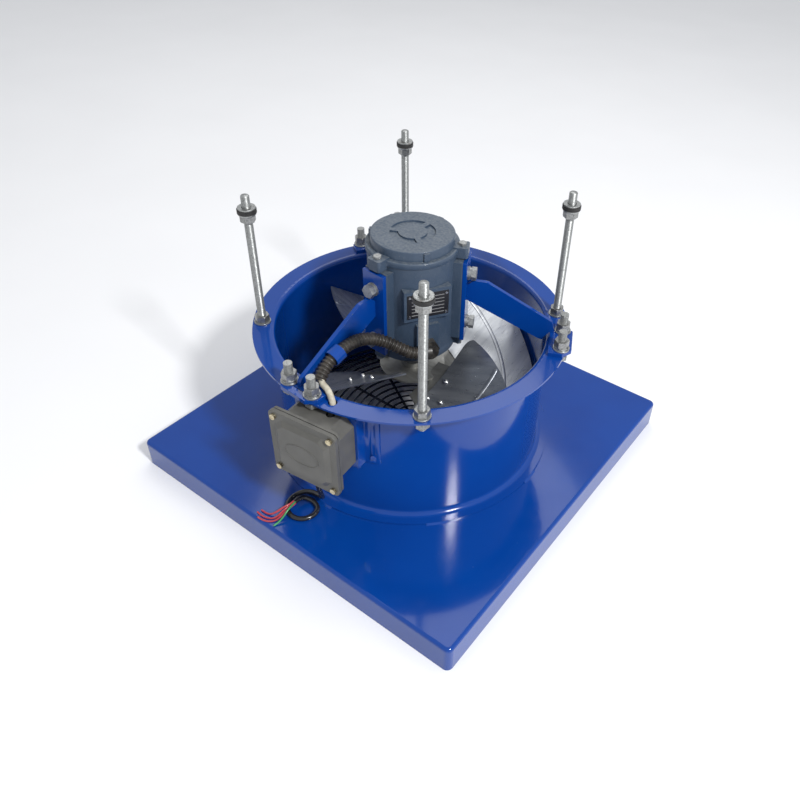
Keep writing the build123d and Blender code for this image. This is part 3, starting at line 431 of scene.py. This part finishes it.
def swept(name, line, radius_at, around, material):
    """A tube along a line whose radius depends on the distance along it."""
    points, along = [], 0.0
    direction = (line[1] - line[0]).normalized()
    side = direction.orthogonal().normalized()
    for k, here in enumerate(line):
        ahead = line[min(k + 1, len(line) - 1)] - line[max(k - 1, 0)]
        turn = direction.rotation_difference(ahead.normalized())
        side, direction = turn @ side, ahead.normalized()
        over = direction.cross(side)
        r = radius_at(along)
        for j in range(around):
            a = 2 * pi * j / around
            points.append(here + side * (r * cos(a)) + over * (r * sin(a)))
        if k + 1 < len(line):
            along += (line[k + 1] - here).length
    return add_mesh(name, points, rings_to_faces(len(line), around), material)


def hood_studs():
    """Four studs with a helical thread and chamfered ends."""
    around, points, faces = 28, [], []
    low, high = STUD_Z
    step = THREAD_PITCH / 6
    rows = int((high - low) / step) + 1
    for angle in STUD_ANGLES:
        centre, first = polar(STUD_CIRCLE_R, angle), len(points)
        for k in range(rows):
            z = low + (high - low) * k / (rows - 1)
            near_end = min(z - low, high - z)
            for j in range(around):
                a = 2 * pi * j / around
                phase = (z / THREAD_PITCH - j / around) % 1.0
                r = STUD_R - THREAD_DEPTH * abs(2 * phase - 1)
                r = min(r, STUD_R - STUD_CHAMFER + near_end)
                points.append(centre + Vector((r * cos(a), r * sin(a), z)))
        faces += rings_to_faces(rows, around, first=first)
    obj = add_mesh("stud_threads", points, faces, ZINC)
    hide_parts("hood_studs")


def conduit_ribs():
    """The conduit with its rounded ribs, along the same route as its CAD tube."""
    route = [
        place(FACE_ANGLE, 81, -9, 248), place(FACE_ANGLE, 81, -24, 248),
        place(FACE_ANGLE, 78, -41, 258.5), polar(90.5, -72, 268),
        place(LEFT_ARM, 96, 21, 275), place(LEFT_ARM, 112, 14.5, 282),
        place(LEFT_ARM, 130, 13, 287), place(LEFT_ARM, 149, 12.8, 287.5),
        place(LEFT_ARM, 166, 13, 284), place(LEFT_ARM, 180, 13.2, 279),
        place(LEFT_ARM, 192.5, 15, 272), place(LEFT_ARM, 203, 18.5, 265.2),
    ]

    def rib(along):
        wave = 0.5 - 0.5 * cos(2 * pi * along / CONDUIT_RIB_PITCH)
        return CONDUIT_R - CONDUIT_RIB_DEPTH * (1 - wave) ** 1.6

    obj = swept("conduit_ribbed", points_along(route, CONDUIT_STEPS), rib, 28, CONDUIT)
    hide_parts("flexible_conduit")


def lid_emblem():
    """A plain raised oval on the junction box's lid."""
    around, tube = 96, 8
    half_wide, half_high = LID_OVAL
    points = []
    for k in range(around):
        a = 2 * pi * k / around
        for j in range(tube):
            b = 2 * pi * j / tube
            grow = LID_RING_WIDE * cos(b)
            across = (half_wide + grow) * cos(a)
            height = LID_MIDDLE_Z + (half_high + grow) * sin(a)
            radial = LID_FACE_R + LID_RING_HIGH * sin(b)
            points.append(place(BOX_ANGLE, radial, across, height))
    faces = []
    for k in range(around):
        for j in range(tube):
            n, m = (k + 1) % around, (j + 1) % tube
            faces.append((k * tube + j, k * tube + m, n * tube + m, n * tube + j))
    obj = add_mesh("lid_oval", points, faces, CAST)


def blade_creases(number):
    """A pressed rib that follows the blade's face on a circle near its tip."""
    blade = NODES[f"fan_blade_{number}"]
    inverse = blade.matrix_world.inverted()
    down = (inverse.to_3x3() @ Vector((0, 0, -1))).normalized()
    lifts = (CREASE_SINK, CREASE_LIFT, CREASE_LIFT, CREASE_SINK)
    middle = sum((blade.matrix_world @ v.co for v in blade.data.vertices), Vector())
    middle_angle = degrees(atan2(middle.y, middle.x))
    points, rows = [], 0
    for step in range(-100, 101):
        ring = []
        for radius, lift in zip(CREASE_RADII, lifts):
            above = polar(radius, middle_angle + step, 400) * MM
            found, spot, _, _ = blade.ray_cast(inverse @ above, down)
            if found:
                ring.append(blade.matrix_world @ spot / MM + Vector((0, 0, lift)))
        if len(ring) == len(CREASE_RADII):
            points += ring
            rows += 1
    obj = add_mesh(f"blade_crease_{number}", points, rings_to_faces(rows, 4),
                   blade.data.materials[0], body="rotor")


hood_studs()
conduit_ribs()
lid_emblem()
for number in range(1, 5):
    blade_creases(number)


# ---- cable and wires ---------------------------------------------------------------------------
def cord(name, node, route, diameter, material):
    """A free cord that follows the CAD cord's own route."""
    curve = route_curve(name, route, 16)
    curve.bevel_depth = diameter / 2 * MM
    curve.bevel_resolution = 5
    curve.use_fill_caps = True
    obj = bpy.data.objects.new(name, curve)
    bpy.context.scene.collection.objects.link(obj)
    curve.materials.append(material)
    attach(obj, "fan")
    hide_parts(node)
    return obj


CABLE_ROUTE = [
    tuple(place(BOX_ANGLE, 236, -7, 128)), (20.0, -235.5, 110.0), (20.6, -234.0, 93.0),
    (20.0, -230.0, 78.0), (16.0, -224.5, 65.0), (5.0, -219.0, 56.0), (-10.0, -218.0, 53.6),
    (-23.5, -225.0, 52.0), (-30.5, -238.5, FLOOR + 0.8), (-28.5, -253.0, FLOOR),
    (-17.5, -264.5, FLOOR), (-2.0, -268.0, FLOOR), (12.0, -261.5, FLOOR),
    (18.5, -248.0, FLOOR), (15.5, -235.0, FLOOR), (5.0, -229.5, FLOOR + 1.2),
    (-8.0, -231.0, FLOOR + 4.2), (-16.5, -240.0, 56.9), (-15.4, -251.0, 56.9),
]
# name: its record slot, material, real length and route, in millimetres
WIRES = {
    "red_wire_1": ("wire_red", RED, 65.4, [
        (-16.78, -251.14, 55.5), (-16.33, -255.6, 55.5), (-17.6, -263.0, 55.4),
        (-18.6, -270.0, 53.8), (-20.4, -278.5, 48.8), (-24.5, -286.0, WIRE_FLOOR),
        (-33.0, -290.5, WIRE_FLOOR), (-42.5, -292.0, WIRE_FLOOR), (-51.0, -290.5, WIRE_FLOOR)]),
    "red_wire_2": ("wire_red", RED, 65.5, [
        (-14.02, -250.86, 55.5), (-13.57, -255.3, 55.5), (-14.1, -263.0, 55.4),
        (-14.9, -270.0, 53.9), (-16.4, -279.0, 48.9), (-19.5, -287.5, WIRE_FLOOR),
        (-26.0, -293.5, WIRE_FLOOR), (-35.0, -296.4, WIRE_FLOOR), (-43.5, -296.6, WIRE_FLOOR)]),
    "red_wire_3": ("wire_red", RED, 56.1, [
        (-16.78, -251.14, 58.3), (-16.33, -255.6, 58.3), (-18.6, -263.0, 58.2),
        (-21.2, -270.0, 56.8), (-25.4, -277.0, 52.0), (-31.5, -282.5, 47.6),
        (-40.0, -285.0, WIRE_FLOOR), (-49.0, -284.5, WIRE_FLOOR)]),
    "green_wire": ("wire_green", GREEN, 46.0, [
        (-14.02, -250.86, 58.3), (-13.57, -255.3, 58.3), (-12.3, -263.0, 58.1),
        (-11.5, -270.0, 56.4), (-11.2, -278.5, 51.8), (-12.2, -287.0, 47.6),
        (-14.2, -294.0, WIRE_FLOOR)]),
}
cable = cord("supply_cable_run", "supply_cable", CABLE_ROUTE, CABLE_D, CABLE)
for name, (slot, material, length, route) in WIRES.items():
    wire = cord(f"{name}_run", name, route, WIRE_D, material)


# ---- floor, light and camera -------------------------------------------------------------------
def floor():
    mesh = bpy.data.meshes.new("floor")
    half = 6.0
    mesh.from_pydata([(-half, -half, 0), (half, -half, 0), (half, half, 0), (-half, half, 0)],
                     [], [(0, 1, 2, 3)])
    obj = bpy.data.objects.new("floor", mesh)
    obj.location.z = -0.0004
    bpy.context.scene.collection.objects.link(obj)
    s = Shader("floor_pale", (0.92, 0.92, 0.93), 0.7)
    s.tint(s.span(s.noise(3, 2), 0.3, 0.7), (0.90, 0.90, 0.91))
    mesh.materials.append(s.material)


def area_light(name, position, target, size, power, color=(1, 1, 1)):
    data = bpy.data.lights.new(name, "AREA")
    data.shape = "DISK"
    data.size = size
    data.energy = power
    data.color = color
    obj = bpy.data.objects.new(name, data)
    obj.location = position
    aim = Vector(target) - Vector(position)
    obj.rotation_euler = aim.to_track_quat("-Z", "Y").to_euler()
    bpy.context.scene.collection.objects.link(obj)


def camera():
    turn, tilt, roll = radians(34.227), radians(38.314), radians(2.938)
    back = Vector((sin(turn) * cos(tilt), -cos(turn) * cos(tilt), sin(tilt)))
    level = (-back).cross(Vector((0, 0, 1))).normalized()
    upright = level.cross(-back)
    right = level * cos(roll) + upright * sin(roll)
    up = upright * cos(roll) - level * sin(roll)
    data = bpy.data.cameras.new("camera")
    data.sensor_width = 36.0
    data.lens = 34.385
    data.shift_x, data.shift_y = -0.0743, -0.0462
    obj = bpy.data.objects.new("camera", data)
    axes = Matrix((right, up, back)).transposed().to_4x4()
    obj.matrix_world = Matrix.Translation((0.58421, -0.72880, 0.90600)) @ axes
    bpy.context.scene.collection.objects.link(obj)
    bpy.context.scene.camera = obj


def studio():
    """An even pale surround, shown without the default tone curve."""
    world = bpy.data.worlds.new("studio")
    world.use_nodes = True
    background = world.node_tree.nodes["Background"]
    background.inputs["Color"].default_value = (0.95, 0.97, 1.0, 1.0)
    background.inputs["Strength"].default_value = 0.62
    bpy.context.scene.world = world
    bpy.context.scene.view_settings.view_transform = "Standard"


floor()
studio()
area_light("key", (2.0, -0.57, 2.2), (0, 0, 0.12), 0.35, 66)
area_light("fill", (-0.9, 1.2, 2.4), (0, 0, 0.1), 1.8, 14)
camera()
